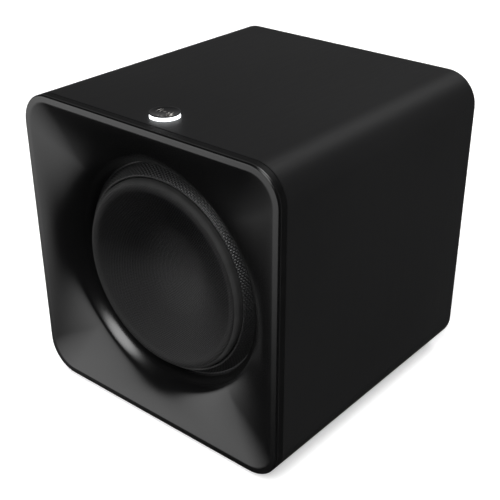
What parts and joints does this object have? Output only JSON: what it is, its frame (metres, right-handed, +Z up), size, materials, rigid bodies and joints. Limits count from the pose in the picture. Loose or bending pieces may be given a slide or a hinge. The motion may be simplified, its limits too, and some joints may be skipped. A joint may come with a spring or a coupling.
{
  "type": "subwoofer",
  "caption": "Powered subwoofer: a cube cabinet with rounded long edges, a horn-like front from square rim to round throat, a woven dish driver and a glowing round button on top.",
  "frame": {"origin": "on the floor, under the middle of the cabinet", "axes": "+Z up, the driver faces -Y, +X to the right as seen from the front"},
  "size_m": [0.33, 0.33, 0.3402],
  "materials": {
    "moulding": "fine satin texture",
    "wrap": "black wood-grain vinyl over board",
    "board": "black sealed board",
    "cast_frame": "black powder coat",
    "woven": "black woven fibre, lightly glossy",
    "paper": "pressed pulp",
    "rubber": "finely textured",
    "cloth": "treated cotton",
    "foil": "satin",
    "winding": "enamelled copper wire",
    "steel": "plated",
    "ferrite": "sintered, dark grey",
    "foam": "closed-cell foam",
    "screws": "black oxide",
    "plate": "fine black powder coat",
    "sink": "black anodised",
    "black_plastic": "satin",
    "gloss": "polished black",
    "diffuser": "frosted clear, lit white",
    "circuit": "solder mask",
    "nickel": "nickel plated",
    "insert": "white and red insulator",
    "wadding": "polyester fibre"
  },
  "bodies": {
    "cabinet": {"cabinet_shell": "wrap", "front_bezel": "moulding", "baffle_board": "board", "window_brace": "board", "back_panel": "board", "damping_pads": "wadding", "feet": "rubber", "foot_screws": "screws", "driver_basket": "cast_frame", "gasket_ring": "foam", "driver_screws": "screws", "top_plate": "steel", "magnet": "ferrite", "yoke": "steel", "terminal_strip": "black_plastic", "speaker_wires": "rubber", "surround": "rubber", "spider": "cloth", "tinsel_leads": "nickel", "amp_plate": "plate", "amp_screws": "screws", "amp_chassis": "plate", "amp_board": "circuit", "transformer": "winding", "capacitors": "black_plastic", "power_transistors": "black_plastic", "wireless_module": "circuit", "heat_sink": "sink", "gain_pot": "black_plastic", "crossover_pot": "black_plastic", "phase_switch": "black_plastic", "switch_frame": "black_plastic", "jack_shells": "nickel", "jack_inserts": "insert", "mains_inlet": "black_plastic", "inlet_pins": "nickel", "status_light": "diffuser", "button_plug": "black_plastic", "button_board": "circuit"},
    "cone_assembly": {"dish": "woven", "cone": "paper", "coil_former": "foil", "voice_coil": "winding"},
    "gain_control": {"gain_knob": "black_plastic"},
    "crossover_control": {"crossover_knob": "black_plastic"},
    "phase_control": {"phase_slider": "black_plastic"},
    "power_control": {"power_rocker": "black_plastic"},
    "top_button": {"button_cap": "gloss", "light_ring": "diffuser"}
  },
  "joints": [
    {"name": "cone_slide", "type": "slide", "parent": "cabinet", "child": "cone_assembly", "axis": [0, -1, 0], "range_m": [-0.009, 0.009], "stiffness_N_per_m": 3500, "deforming": ["surround", "spider", "tinsel_leads"]},
    {"name": "gain_turn", "type": "hinge", "parent": "cabinet", "child": "gain_control", "pos_m": [0.052, 0.1515, 0.189], "axis": [0, 1, 0], "range_deg": [-150, 150]},
    {"name": "crossover_turn", "type": "hinge", "parent": "cabinet", "child": "crossover_control", "pos_m": [-0.052, 0.1515, 0.189], "axis": [0, 1, 0], "range_deg": [-150, 150]},
    {"name": "phase_slide", "type": "slide", "parent": "cabinet", "child": "phase_control", "axis": [-1, 0, 0], "range_m": [0, 0.004]},
    {"name": "power_rock", "type": "hinge", "parent": "cabinet", "child": "power_control", "pos_m": [0.052, 0.1515, 0.081], "axis": [1, 0, 0], "range_deg": [0, 16]},
    {"name": "button_press", "type": "slide", "parent": "cabinet", "child": "top_button", "axis": [0, 0, -1], "range_m": [0, 0.0008], "stiffness_N_per_m": 800, "springref_m": -0.0005}
  ]
}
